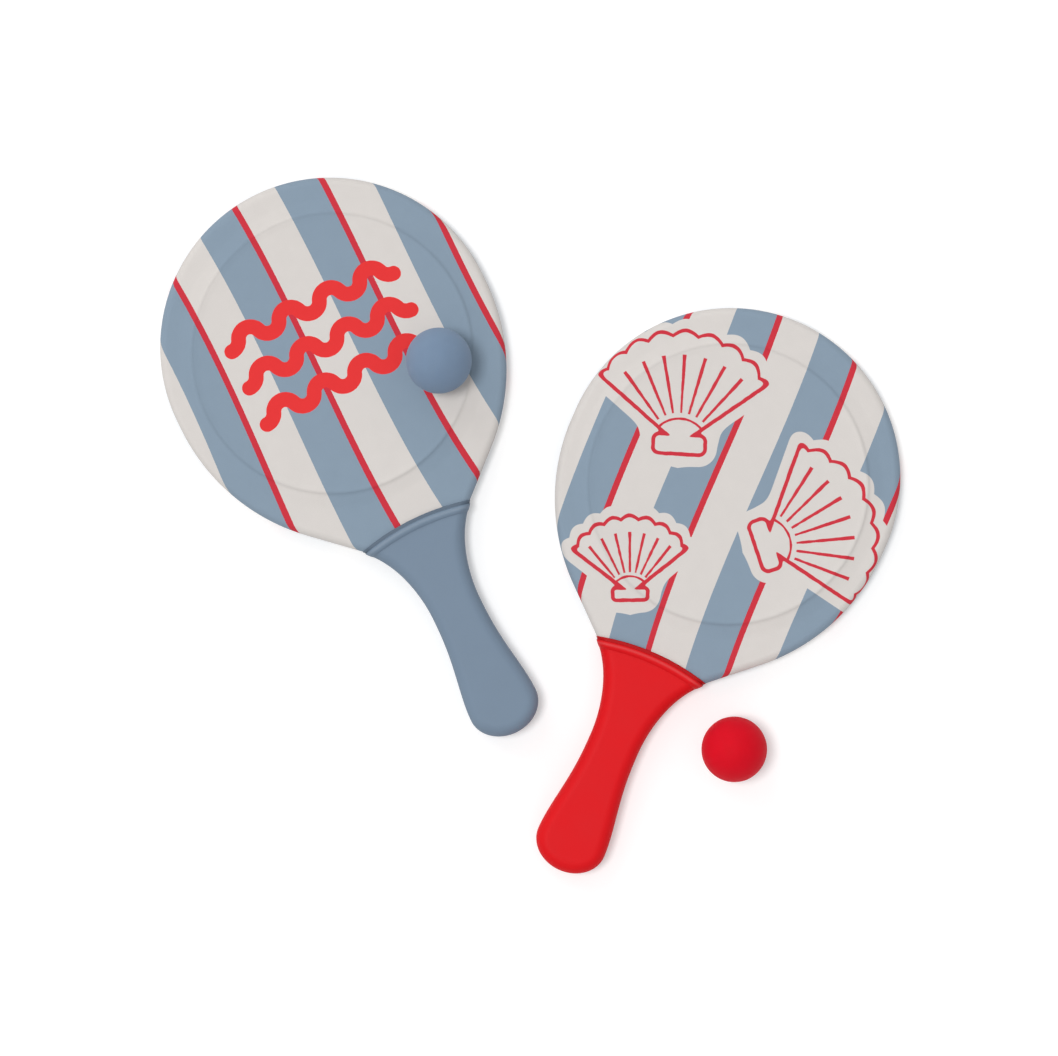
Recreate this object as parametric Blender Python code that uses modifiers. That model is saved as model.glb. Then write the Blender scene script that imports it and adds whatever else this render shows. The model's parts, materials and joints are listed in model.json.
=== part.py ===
"""Beach paddle set: two neoprene-faced paddles with moulded grips, and two rubber balls.

Units are metres and +Z is up. Each paddle is modelled in its own frame: the origin is the centre
of the round end of the head, halfway through the thickness, +Y runs towards the top of the head,
-Y runs down the handle, and +Z leaves the front face. The front and rear halves of a paddle are
the same pieces, turned over about the handle's axis.
"""
import math

import bmesh
import bpy
from mathutils import Matrix, Vector

# Head outline: a round end, a short straight flank, then a shoulder arc into a straight run
HEAD_RADIUS = 0.1135
HEAD_FLANK = 0.006
SHOULDER_RADIUS = 0.136
SHOULDER_TURN = math.radians(48.0)

# Layers of the head, from the middle outwards
CORE_THICKNESS = 0.008
PAD_THICKNESS = 0.0020
SKIN_THICKNESS = 0.0020
RIM_FLAT = 0.0010
RING_WIDTH = 0.020
PAD_OFFSET = 0.005
SKIVE_WIDTH = 0.011
SKIVE_EDGE = 0.0006

# Handle: measured down the axis from the mouth of its collar to the butt
PADDLE_LENGTH = 0.400
COLLAR_FROM_TOP = 0.2400
COLLAR_ARC_RADIUS = 0.157
COLLAR_WALL = 0.0022
COLLAR_SIDE_WALL = 0.0008
BEAD_WIDTH = 0.0040
BEAD_HEIGHT = 0.0014
BEAD_SET_BACK = 0.0008
BEAD_SIDE_SHARE = 1 / 3
POCKET_DEPTH = 0.008
WAIST_FROM_BUTT = 0.0915
WAIST_WIDTH = 0.0344
BUTT_WIDTH = 0.0480
BUTT_LENGTH = 0.0200
GRIP_THICKNESS = 0.0230
GRIP_SWELL_END = 0.045
GRIP_EDGE_RADIUS = 0.0080
EDGE_SHARE_OF_WIDTH = 0.9
FLARE_POWER = 2.1
BELLY_POWER = 1.3

# Tang of the core board, inside the grip
TANG_WIDTH = 0.022
TANG_END_FROM_BUTT = 0.030
TANG_FILLET = 0.020

# Balls
BALL_DIAMETER = 0.0438
BALL_SEGMENTS = 28

# Clearance between neighbouring pieces
FIT = 0.0003

# The layout on the ground: where each head's centre lies and how far its handle is turned
BLUE_PADDLE_PLACE = (-0.1358, 0.1204)
BLUE_PADDLE_TURN = math.radians(25.9)
RED_PADDLE_PLACE = (0.1327, 0.0331)
RED_PADDLE_TURN = math.radians(-23.65)
BLUE_BALL_ON_FACE = (0.0618, -0.0415)
RED_BALL_PLACE = (0.1345, -0.1483)

# Fineness of the facets
HEAD_ARC_STEPS = 14
SHOULDER_STEPS = 7
RUN_STEPS = 3
NECK_STEPS = 2
RIM_STEPS = 3
PAD_STEPS = 44
CORNER_STEPS = 3
FACE_STEPS = 6
FILLET_STEPS = 4
TANG_END_STEPS = 5
BEAD_STEPS = 4
BODY_STEPS = 12
BUTT_ANGLES = (0, 22, 42, 58, 70, 79, 85)
COLLAR_CUTTER_SEGMENTS = 120
CUTTER_HEIGHT = 0.046
SETTLING_ROUNDS = 30
SMOOTH_ANGLE = math.radians(35)

# Sizes that follow from the ones above
CORE_HALF = CORE_THICKNESS / 2
RING_HALF = CORE_HALF + FIT + SKIN_THICKNESS
FACE_HALF = RING_HALF + PAD_THICKNESS + FIT
RIM_RADIUS = RING_HALF - RIM_FLAT
CORE_INSET = SKIN_THICKNESS + FIT
PAD_RADIUS = HEAD_RADIUS - RING_WIDTH
PAD_CENTRE = Vector((0.0, -PAD_OFFSET))
SHOULDER_END = Vector((
    HEAD_RADIUS - SHOULDER_RADIUS * (1 - math.cos(SHOULDER_TURN)),
    -HEAD_FLANK - SHOULDER_RADIUS * math.sin(SHOULDER_TURN),
))
COLLAR_Y = HEAD_RADIUS - COLLAR_FROM_TOP
BUTT_Y = HEAD_RADIUS - PADDLE_LENGTH
BUTT_START_Y = BUTT_Y + BUTT_LENGTH
WAIST_Y = BUTT_Y + WAIST_FROM_BUTT
COLLAR_HALF_HEIGHT = RING_HALF + FIT + COLLAR_WALL
GRIP_HALF_HEIGHT = GRIP_THICKNESS / 2
SKIN_END_DEPTH = POCKET_DEPTH - FIT
BALL_RADIUS = BALL_DIAMETER / 2

# A paddle lies on the far edge of its rear pad and on its grip, where the swell is full
REST_SPAN = (PAD_RADIUS - PAD_OFFSET) - (BUTT_Y + GRIP_SWELL_END)
REST_TILT = math.atan2(GRIP_HALF_HEIGHT - FACE_HALF, REST_SPAN)


def clear_scene():
    """Remove every object that the scene holds."""
    for item in list(bpy.data.objects):
        bpy.data.objects.remove(item, do_unlink=True)


def new_collection(name):
    """Add a collection to the scene."""
    collection = bpy.data.collections.new(name)
    bpy.context.scene.collection.children.link(collection)
    return collection


def material(name, colour, roughness):
    """Make a plain principled material."""
    finish = bpy.data.materials.new(name)
    finish.use_nodes = True
    shader = finish.node_tree.nodes["Principled BSDF"]
    shader.inputs["Base Color"].default_value = (*colour, 1.0)
    shader.inputs["Roughness"].default_value = roughness
    shader.inputs["Metallic"].default_value = 0.0
    finish.diffuse_color = (*colour, 1.0)
    return finish


def mesh_from(bm, name):
    """Turn a bmesh into a mesh whose round faces shade smooth."""
    mesh = bpy.data.meshes.new(name)
    bm.to_mesh(mesh)
    bm.free()
    mesh.shade_smooth()
    mesh.set_sharp_from_angle(angle=SMOOTH_ANGLE)
    return mesh


def helper_object(name, mesh, collection):
    """Link a cutter or a half-made piece, hidden from renders."""
    item = bpy.data.objects.new(name, mesh)
    item.hide_render = True
    item.display_type = "WIRE"
    collection.objects.link(item)
    return item


def baked(item, name):
    """Return the mesh that an object's modifiers make, and remove the object."""
    bpy.context.view_layer.update()
    graph = bpy.context.evaluated_depsgraph_get()
    mesh = bpy.data.meshes.new_from_object(item.evaluated_get(graph))
    mesh.name = name
    bpy.data.objects.remove(item)
    return mesh


def cut(item, cutter):
    """Subtract a cutter from an object."""
    modifier = item.modifiers.new("cut_" + cutter.name, "BOOLEAN")
    modifier.operation = "DIFFERENCE"
    modifier.solver = "EXACT"
    modifier.object = cutter


def trace(steps):
    """Follow straight runs and arcs from the top of the head down its right side.

    A step is (length, 0, count) for a straight run or (radius, turn, count) for an arc; a
    negative radius bends away from the axis. Each point comes with its outward normal.
    """
    heading = 0.0
    here = Vector((0.0, HEAD_RADIUS))
    points = [(here.copy(), Vector((0.0, 1.0)))]
    for size, turn, count in steps:
        for _ in range(count):
            side = 1 if size > 0 else -1
            chord = 2 * abs(size) * math.sin(turn / count / 2) if turn else size / count
            bend = side * turn / count
            heading -= bend / 2
            here = here + Vector((math.cos(heading), math.sin(heading))) * chord
            heading -= bend / 2
            points.append((here.copy(), Vector((-math.sin(heading), math.cos(heading)))))
    return points


def both_sides(right_half):
    """Close a traced right half with its mirror image."""
    left_half = [
        (Vector((-point.x, point.y)), Vector((-normal.x, normal.y)))
        for point, normal in reversed(right_half)
        if point.x > 1e-7
    ]
    return right_half + left_half


def head_steps():
    """The steps of the head's outline as far as the end of the shoulder arc."""
    return [
        (HEAD_RADIUS, math.radians(90), HEAD_ARC_STEPS),
        (HEAD_FLANK, 0.0, 1),
        (SHOULDER_RADIUS, SHOULDER_TURN, SHOULDER_STEPS),
    ]


def run_down_to(half_width):
    """Length of the shoulder's straight run down to a distance from the axis."""
    return (SHOULDER_END.x - half_width) / math.sin(SHOULDER_TURN)


def head_outline():
    """The head's outline, its straight runs carried on into the grip and closed there."""
    end = TANG_WIDTH / 2
    right_half = trace(head_steps() + [(run_down_to(end), 0.0, RUN_STEPS)])
    corner = right_half[-1][0]
    for step in range(1, NECK_STEPS + 1):
        across = corner.x * (1 - step / NECK_STEPS)
        right_half.append((Vector((across, corner.y)), Vector((0.0, -1.0))))
    return both_sides(right_half)


def core_outline():
    """The head's outline, drawn in through a fillet to a tang with a round end."""
    tang_half = TANG_WIDTH / 2 + CORE_INSET
    run = run_down_to(tang_half + TANG_FILLET * (1 - math.cos(SHOULDER_TURN)))
    fillet_end = (
        SHOULDER_END.y - run * math.cos(SHOULDER_TURN) - TANG_FILLET * math.sin(SHOULDER_TURN)
    )
    tang_run = fillet_end - (BUTT_Y + TANG_END_FROM_BUTT) - TANG_WIDTH / 2
    steps = head_steps() + [
        (run, 0.0, RUN_STEPS),
        (-TANG_FILLET, SHOULDER_TURN, FILLET_STEPS),
        (tang_run, 0.0, 1),
        (tang_half, math.radians(90), TANG_END_STEPS),
    ]
    return both_sides(trace(steps))


def rim_profile(radius, flat, start):
    """Insets and heights from the middle of a rounded rim up to its flat face."""
    profile = [(0.0, start), (0.0, flat)]
    for step in range(1, RIM_STEPS + 1):
        angle = math.radians(90) * step / RIM_STEPS
        profile.append((radius * (1 - math.cos(angle)), flat + radius * math.sin(angle)))
    return profile


def ring(outline, inset, height):
    """An outline moved inwards and lifted to a height."""
    return [
        Vector((point.x - normal.x * inset, point.y - normal.y * inset, height))
        for point, normal in outline
    ]


def pad_ring(outline, radius, height):
    """A circle about the pad's centre with a point towards each point of the outline."""
    circle = []
    for point, _ in outline:
        outward = (point - PAD_CENTRE).normalized()
        spot = PAD_CENTRE + outward * radius
        circle.append(Vector((spot.x, spot.y, height)))
    return circle


def loft(bm, rings, close_first=True, close_last=True):
    """Join rings of equally many points with quads, and close the ends."""
    loops = [[bm.verts.new(point) for point in points] for points in rings]
    count = len(loops[0])
    for lower, upper in zip(loops, loops[1:]):
        for index in range(count):
            after = (index + 1) % count
            bm.faces.new((lower[index], lower[after], upper[after], upper[index]))
    if close_first:
        bm.faces.new(list(reversed(loops[0])))
    if close_last:
        bm.faces.new(loops[-1])
    return loops


def plate(outline, inset, half_thickness, flat):
    """A flat plate of an outline, its edge rounded on both sides of a narrow flat."""
    half = rim_profile(half_thickness - flat, flat, 0.0)[1:]
    profile = [(edge, -height) for edge, height in reversed(half)] + half
    bm = bmesh.new()
    loft(bm, [ring(outline, inset + edge, height) for edge, height in profile])
    bmesh.ops.recalc_face_normals(bm, faces=bm.faces)
    return bm


def collar_cylinder(name, depth, collection):
    """A cutter with the collar's arc, covering all that lies past a depth down the grip."""
    bm = bmesh.new()
    centre = Matrix.Translation((0.0, COLLAR_Y - depth - COLLAR_ARC_RADIUS, 0.0))
    bmesh.ops.create_cone(
        bm,
        cap_ends=True,
        segments=COLLAR_CUTTER_SEGMENTS,
        radius1=COLLAR_ARC_RADIUS,
        radius2=COLLAR_ARC_RADIUS,
        depth=CUTTER_HEIGHT,
        matrix=centre @ Matrix.Rotation(math.radians(90), 4, "Z"),
    )
    return helper_object(name, mesh_from(bm, name), collection)


def core_mesh():
    """The board: head and tang in one piece."""
    return mesh_from(plate(core_outline(), CORE_INSET, CORE_HALF, RIM_FLAT), "core_board")


def pad_mesh(collection):
    """The foam disc with its skived edge, turned from a profile."""
    bottom = CORE_HALF + FIT
    top = bottom + PAD_THICKNESS
    slope = math.atan2(FACE_HALF - RING_HALF, SKIVE_WIDTH)
    top_radius = PAD_RADIUS - (SKIN_THICKNESS + FIT) * math.tan(slope / 2)
    edge_drop = PAD_THICKNESS - SKIVE_EDGE
    edge_radius = top_radius + edge_drop / math.tan(slope)
    profile = [(0.0, top), (top_radius, top), (edge_radius, bottom + SKIVE_EDGE),
               (edge_radius, bottom), (0.0, bottom)]
    mesh = bpy.data.meshes.new("pad_profile")
    points = [(radius, 0.0, height) for radius, height in profile]
    edges = [(index, index + 1) for index in range(len(points) - 1)]
    mesh.from_pydata(points, edges, [])
    item = helper_object("pad_profile", mesh, collection)
    turn = item.modifiers.new("turn", "SCREW")
    turn.angle = math.radians(360)
    turn.steps = PAD_STEPS
    turn.render_steps = PAD_STEPS
    turn.use_merge_vertices = True
    turn.merge_threshold = 0.00001
    turn.use_smooth_shade = True
    turned = baked(item, "pad")
    turned.transform(Matrix.Translation((PAD_CENTRE.x, PAD_CENTRE.y, 0.0)))
    return turned


def skin_mesh(collection, trim):
    """The neoprene cover: rim, ring, skived slope and raised disc, trimmed at the collar."""
    outline = head_outline()
    rings = [
        ring(outline, inset, height)
        for inset, height in rim_profile(RIM_RADIUS, RIM_FLAT, FIT / 2)
    ]
    rings.append(pad_ring(outline, PAD_RADIUS + SKIVE_WIDTH, RING_HALF))
    rings.append(pad_ring(outline, PAD_RADIUS, FACE_HALF))
    bm = bmesh.new()
    loft(bm, rings, close_first=False)
    bmesh.ops.recalc_face_normals(bm, faces=bm.faces)
    if max(bm.faces, key=lambda face: len(face.verts)).normal.z < 0:
        bmesh.ops.reverse_faces(bm, faces=bm.faces)
    item = helper_object("skin_sheet", mesh_from(bm, "skin_sheet"), collection)
    wall = item.modifiers.new("wall", "SOLIDIFY")
    wall.thickness = SKIN_THICKNESS
    wall.offset = -1.0
    wall.use_even_offset = True
    cut(item, trim)
    return baked(item, "skin")


def smooth(value):
    """Ease from 0 to 1, level at both ends."""
    value = min(max(value, 0.0), 1.0)
    return value * value * (3 - 2 * value)


def collar_bow(across):
    """How far the collar's arc falls back at a distance from the axis."""
    return COLLAR_ARC_RADIUS - math.sqrt(COLLAR_ARC_RADIUS ** 2 - across ** 2)


def collar_half_width():
    """Half the collar's width: the head's run at the mouth, plus fit and side wall."""
    half_width = BUTT_WIDTH / 2
    slope = math.tan(SHOULDER_TURN)
    for _ in range(SETTLING_ROUNDS):
        mouth_y = COLLAR_Y - collar_bow(half_width)
        head_half = SHOULDER_END.x - (SHOULDER_END.y - mouth_y) * slope
        half_width = (half_width + head_half + FIT + COLLAR_SIDE_WALL) / 2
    return half_width


def grip_half_width(along, collar_half, mouth_y):
    """Half the grip's width at a place on the axis: flare, waist, belly and butt."""
    waist_half = WAIST_WIDTH / 2
    if along >= WAIST_Y:
        rise = min((along - WAIST_Y) / (mouth_y - WAIST_Y), 1.0)
        return waist_half + (collar_half - waist_half) * rise ** FLARE_POWER
    if along >= BUTT_START_Y:
        fall = (WAIST_Y - along) / (WAIST_Y - BUTT_START_Y)
        return waist_half + (BUTT_WIDTH / 2 - waist_half) * smooth(fall ** BELLY_POWER)
    past = min((BUTT_START_Y - along) / BUTT_LENGTH, 1.0)
    return BUTT_WIDTH / 2 * math.sqrt(1 - past * past)


def grip_half_height(along):
    """Half the grip's thickness without the bead: swelling to the palm, rounded at the butt."""
    swell = smooth((COLLAR_Y - along) / (COLLAR_Y - BUTT_Y - GRIP_SWELL_END))
    height = COLLAR_HALF_HEIGHT + (GRIP_HALF_HEIGHT - COLLAR_HALF_HEIGHT) * swell
    from_end = along - BUTT_Y
    if from_end < GRIP_EDGE_RADIUS:
        short = GRIP_EDGE_RADIUS - from_end
        height -= GRIP_EDGE_RADIUS - math.sqrt(GRIP_EDGE_RADIUS ** 2 - short ** 2)
    return height


def bead_rise(depth):
    """Height of the moulded bead at a distance down from the collar's mouth."""
    across = (depth - BEAD_SET_BACK) / BEAD_WIDTH
    if not 0.0 < across < 1.0:
        return 0.0
    return BEAD_HEIGHT * math.sin(math.pi * across)


def grip_stations():
    """Distances of the grip's sections down from the mouth of the collar."""
    bead = [BEAD_SET_BACK + BEAD_WIDTH * step / BEAD_STEPS for step in range(BEAD_STEPS + 1)]
    length = COLLAR_Y - BUTT_Y
    straight_end = length - BUTT_LENGTH
    bead_end = BEAD_SET_BACK + BEAD_WIDTH
    body = [
        bead_end + (straight_end - bead_end) * step / BODY_STEPS for step in range(1, BODY_STEPS)
    ]
    butt = [straight_end + BUTT_LENGTH * math.sin(math.radians(angle)) for angle in BUTT_ANGLES]
    return [0.0] + bead + body + butt


def grip_section(depth, collar_half, mouth_y):
    """One ring of the front grip half: over its top from right to left, back along its base."""
    along = COLLAR_Y - depth
    fade = 1 - smooth((depth - POCKET_DEPTH) / (COLLAR_Y - WAIST_Y - POCKET_DEPTH))
    side_y = along - collar_bow(collar_half) * fade
    half_width = grip_half_width(side_y, collar_half, mouth_y) + bead_rise(depth) * BEAD_SIDE_SHARE
    half_height = grip_half_height(along) + bead_rise(depth)
    base = FIT / 2
    corner = min(GRIP_EDGE_RADIUS, half_height - RIM_FLAT, half_width * EDGE_SHARE_OF_WIDTH)
    top = []
    for step in range(CORNER_STEPS + 1):
        angle = math.radians(90) * step / CORNER_STEPS
        top.append((
            half_width - corner + corner * math.cos(angle),
            half_height - corner + corner * math.sin(angle),
        ))
    flat_half = half_width - corner
    for step in range(1, FACE_STEPS):
        top.append((flat_half * (1 - 2 * step / FACE_STEPS), half_height))
    top += [(-across, height) for across, height in reversed(top[:CORNER_STEPS + 1])]
    outline = top + [(across, base) for across, _ in reversed(top)]
    return [
        Vector((across, along - collar_bow(across) * fade, height))
        for across, height in outline
    ]


def close_end(bm, loop, outwards):
    """Close an end ring with strips between its top row and its base row."""
    half = len(loop) // 2
    top = loop[:half]
    base = list(reversed(loop[half:]))
    for index in range(half - 1):
        corners = [top[index], top[index + 1], base[index + 1], base[index]]
        bm.faces.new(corners if outwards else list(reversed(corners)))


def grip_mesh(collection, pocket, slot):
    """The front half of the grip: bowed sections lofted, then pocketed for skins and tang."""
    collar_half = collar_half_width()
    mouth_y = COLLAR_Y - collar_bow(collar_half)
    rings = [grip_section(depth, collar_half, mouth_y) for depth in grip_stations()]
    bm = bmesh.new()
    loops = loft(bm, rings, close_first=False, close_last=False)
    close_end(bm, loops[0], outwards=True)
    close_end(bm, loops[-1], outwards=False)
    bmesh.ops.recalc_face_normals(bm, faces=bm.faces)
    item = helper_object("grip_blank", mesh_from(bm, "grip_blank"), collection)
    cut(item, pocket)
    cut(item, slot)
    return baked(item, "grip_half")


def ball_mesh():
    """A solid ball."""
    bm = bmesh.new()
    bmesh.ops.create_uvsphere(
        bm, u_segments=BALL_SEGMENTS, v_segments=BALL_SEGMENTS // 2, radius=BALL_RADIUS
    )
    return mesh_from(bm, "ball")


def pocket_cutter(cutters):
    """What the collar holds of the dressed head, down to the pocket's floor."""
    past_pocket = collar_cylinder("past_pocket", POCKET_DEPTH, cutters)
    blank = mesh_from(plate(head_outline(), -FIT, RING_HALF + FIT, RIM_FLAT), "pocket_blank")
    item = helper_object("pocket_blank", blank, cutters)
    cut(item, past_pocket)
    return helper_object("pocket", baked(item, "pocket"), cutters)


def slot_cutter(cutters):
    """The core board grown by the fit all round."""
    mesh = mesh_from(plate(core_outline(), CORE_INSET - FIT, CORE_HALF + FIT, RIM_FLAT), "slot")
    return helper_object("slot", mesh, cutters)


def place(name, mesh, finish, parts, parent, turned_over=False, location=(0.0, 0.0, 0.0)):
    """Put a piece in its parent's frame; a rear one is turned over about the handle's axis."""
    item = bpy.data.objects.new(name, mesh)
    if not mesh.materials:
        mesh.materials.append(None)
    item.material_slots[0].link = "OBJECT"
    item.material_slots[0].material = finish
    item.parent = parent
    item.location = location
    if turned_over:
        item.rotation_euler.y = math.radians(180)
    parts.objects.link(item)
    return item


def paddle(colour, meshes, finishes, parts, frame):
    """The seven pieces of one paddle."""
    place(colour + "_core_board", meshes["core"], finishes["board"], parts, frame)
    for side, turned_over in (("front", False), ("rear", True)):
        start = f"{colour}_{side}_"
        place(start + "pad", meshes["pad"], finishes["foam"], parts, frame, turned_over)
        place(start + "skin", meshes["skin"], finishes["skin"], parts, frame, turned_over)
        place(start + "grip", meshes["grip"], finishes[colour], parts, frame, turned_over)


def empty(name, parts, parent=None):
    """A frame for pieces to hang on."""
    item = bpy.data.objects.new(name, None)
    item.empty_display_size = 0.05
    item.parent = parent
    parts.objects.link(item)
    return item


def lay_down(frame, position, turn):
    """Lay a paddle's frame on the ground, tilted on to its rear pad's edge and its grip."""
    lift = FACE_HALF * math.cos(REST_TILT) + (PAD_RADIUS - PAD_OFFSET) * math.sin(REST_TILT)
    frame.location = (*position, lift)
    frame.rotation_euler = (-REST_TILT, 0.0, turn)


def centre_on_ground(layout, pieces):
    """Move the whole layout so that its box stands on the origin."""
    bpy.context.view_layer.update()
    corners = [
        piece.matrix_world @ vertex.co for piece in pieces for vertex in piece.data.vertices
    ]
    low = [min(corner[axis] for corner in corners) for axis in range(3)]
    high = [max(corner[axis] for corner in corners) for axis in range(3)]
    layout.location = (-(low[0] + high[0]) / 2, -(low[1] + high[1]) / 2, -low[2])


def main():
    clear_scene()
    parts = new_collection("beach_paddle_set")
    cutters = new_collection("cutters")

    skin_trim = collar_cylinder("past_skin", SKIN_END_DEPTH, cutters)
    meshes = {
        "core": core_mesh(),
        "pad": pad_mesh(cutters),
        "skin": skin_mesh(cutters, skin_trim),
        "grip": grip_mesh(cutters, pocket_cutter(cutters), slot_cutter(cutters)),
    }
    ball = ball_mesh()
    finishes = {
        "board": material("fibre_board", (0.42, 0.27, 0.15), 0.8),
        "foam": material("pad_foam", (0.75, 0.75, 0.73), 0.9),
        "skin": material("striped_neoprene", (0.42, 0.45, 0.48), 0.85),
        "blue": material("blue_soft_grip", (0.20, 0.27, 0.34), 0.55),
        "red": material("red_soft_grip", (0.72, 0.015, 0.022), 0.55),
    }
    blue_rubber = material("blue_rubber", (0.19, 0.27, 0.38), 0.6)
    red_rubber = material("red_rubber", (0.69, 0.009, 0.025), 0.6)

    layout = empty("layout", parts)
    blue_frame = empty("blue_paddle_frame", parts, layout)
    red_frame = empty("red_paddle_frame", parts, layout)
    lay_down(blue_frame, BLUE_PADDLE_PLACE, BLUE_PADDLE_TURN)
    lay_down(red_frame, RED_PADDLE_PLACE, RED_PADDLE_TURN)
    paddle("blue", meshes, finishes, parts, blue_frame)
    paddle("red", meshes, finishes, parts, red_frame)

    on_face = (*BLUE_BALL_ON_FACE, FACE_HALF + FIT + BALL_RADIUS)
    place("blue_ball", ball, blue_rubber, parts, blue_frame, location=on_face)
    on_ground = (*RED_BALL_PLACE, BALL_RADIUS)
    place("red_ball", ball, red_rubber, parts, layout, location=on_ground)
    centre_on_ground(layout, [item for item in parts.objects if item.type == "MESH"])


main()
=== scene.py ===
"""Beach paddle set, dressed: neoprene covers with a printed stripe, foam pads, moulded handles and
rubber balls on a pale studio floor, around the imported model.

Units are metres. Each paddle is shaped in its own frame, as in the model's own source: the origin
is the centre of the round end of the head, +Y runs up the head, -Y down the handle, and +Z leaves
the front face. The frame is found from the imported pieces, and a rear piece is the front one turned
over about the handle's axis.
"""
import json
import math
from contextlib import contextmanager
from typing import NamedTuple

import bmesh
import bpy
from bpy.props import FloatProperty, FloatVectorProperty, IntProperty, PointerProperty
from mathutils import Matrix, Vector

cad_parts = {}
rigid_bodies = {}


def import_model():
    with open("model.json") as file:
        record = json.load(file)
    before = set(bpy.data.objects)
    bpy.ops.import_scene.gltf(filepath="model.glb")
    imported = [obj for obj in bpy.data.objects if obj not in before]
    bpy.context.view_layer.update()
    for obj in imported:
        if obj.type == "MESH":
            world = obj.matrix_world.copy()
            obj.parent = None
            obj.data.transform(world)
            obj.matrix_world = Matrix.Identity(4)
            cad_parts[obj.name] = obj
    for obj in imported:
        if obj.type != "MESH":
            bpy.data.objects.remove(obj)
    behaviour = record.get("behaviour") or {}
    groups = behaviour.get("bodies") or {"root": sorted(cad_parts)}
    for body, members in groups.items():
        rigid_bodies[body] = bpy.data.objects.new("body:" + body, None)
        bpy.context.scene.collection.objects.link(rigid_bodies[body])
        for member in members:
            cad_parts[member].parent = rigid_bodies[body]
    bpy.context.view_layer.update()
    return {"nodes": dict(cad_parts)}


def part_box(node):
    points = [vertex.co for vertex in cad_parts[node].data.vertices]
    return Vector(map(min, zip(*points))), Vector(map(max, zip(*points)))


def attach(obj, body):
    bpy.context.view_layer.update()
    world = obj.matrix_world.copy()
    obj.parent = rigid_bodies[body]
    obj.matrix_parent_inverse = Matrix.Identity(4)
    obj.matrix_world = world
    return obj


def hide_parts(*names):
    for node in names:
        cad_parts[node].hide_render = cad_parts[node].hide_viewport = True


bl_info = {
    "name": "Beach paddle set",
    "version": (1, 0, 0),
    "blender": (4, 5, 0),
    "location": "3D View > Sidebar > Beach paddles",
    "description": "Dresses a beach paddle set: covers, pads, handles, balls and a studio",
    "category": "Object",
}

for startup_object in list(bpy.data.objects):
    bpy.data.objects.remove(startup_object, do_unlink=True)
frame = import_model()

COLOURS = ("blue", "red")
SIDES = ("front", "rear")
FACES = [(colour, side) for colour in COLOURS for side in SIDES]
WHITE = (1.0, 1.0, 1.0)
MILLIMETRE = 0.001
# Places that lie closer than this count as one
NEAR = 0.01 * MILLIMETRE
# The raised disc's centre lies this far down the axis from the head's centre
DISC_OFFSET = 0.005


def corners(node):
    """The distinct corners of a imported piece."""
    places = {tuple(round(axis, 6) for axis in vertex.co) for vertex in node.data.vertices}
    return [Vector(place) for place in sorted(places)]


def middle(node):
    """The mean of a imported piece's corners."""
    places = corners(frame["nodes"][node])
    return sum(places, Vector()) / len(places)


def paddle_frame(colour):
    """A paddle's own frame: +Z through its pads, -Y towards its tang, origin at the head's centre."""
    front = middle(colour + "_front_pad")
    rear = middle(colour + "_rear_pad")
    up = (front - rear).normalized()
    pads = (front + rear) / 2
    to_tang = middle(colour + "_core_board") - pads
    along = -(to_tang - up * to_tang.dot(up)).normalized()
    turn = Matrix((along.cross(up), along, up)).transposed().to_4x4()
    return Matrix.Translation(pads + along * DISC_OFFSET) @ turn


FRAMES = {colour: paddle_frame(colour) for colour in COLOURS}


def own_corners(piece):
    """The corners of a piece of the blue paddle in the paddle's own frame."""
    to_own = FRAMES["blue"].inverted()
    return [to_own @ corner for corner in corners(frame["nodes"]["blue_" + piece])]


SKIN_CORNERS = own_corners("front_skin")
GRIP_CORNERS = own_corners("front_grip")

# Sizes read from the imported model
HEAD_RADIUS = max(corner.x for corner in SKIN_CORNERS)
FACE_HALF = max(corner.z for corner in SKIN_CORNERS)
HALF_GAP = min(corner.z for corner in SKIN_CORNERS)
COLLAR_Y = max(corner.y for corner in GRIP_CORNERS)
BUTT_Y = min(corner.y for corner in GRIP_CORNERS)
GRIP_HALF_HEIGHT = max(corner.z for corner in GRIP_CORNERS)


def in_metres(name, description, default):
    """A length among the settings."""
    return FloatProperty(name=name, description=description, default=default, unit="LENGTH")


def as_colour(name, description, default):
    """A colour among the settings."""
    return FloatVectorProperty(
        name=name, description=description, default=default, subtype="COLOR")


class HeadSettings(bpy.types.PropertyGroup):
    """Sizes of the head: its outline, its rim and its raised disc."""

    flank: in_metres("Flank", "Straight run below the round end of the head", 0.006)
    shoulder_radius: in_metres(
        "Shoulder radius", "Radius of the arc from the flank to the handle", 0.136)
    shoulder_turn: FloatProperty(
        name="Shoulder turn", description="Angle that the shoulder arc turns through",
        default=math.radians(48), subtype="ANGLE")
    ring_half: in_metres("Ring height", "Height of the flat ring over the mid-plane", 0.0063)
    cover: in_metres("Cover", "Thickness of the neoprene cover", 0.0020)
    rim_flat: in_metres("Rim flat", "Upright part of the rim above the seam", 0.0010)
    seam_radius: in_metres("Seam radius", "Rounding of the covers' edges where they meet", 0.0007)
    disc_radius: in_metres("Disc radius", "Radius of the raised disc", 0.0935)
    skive: in_metres("Skive", "Width of the slope around the raised disc", 0.011)
    crest: in_metres("Crest", "Rise of the pressed crest just inside the disc's edge", 0.00045)
    pocket: in_metres("Pocket", "Depth that the covers run into the collar", 0.0077)
    fit: in_metres("Fit", "Clearance between neighbouring layers", 0.0003)
    knit: in_metres("Knit", "Spacing of the knitted wales of the cloth", 0.0008)


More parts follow.
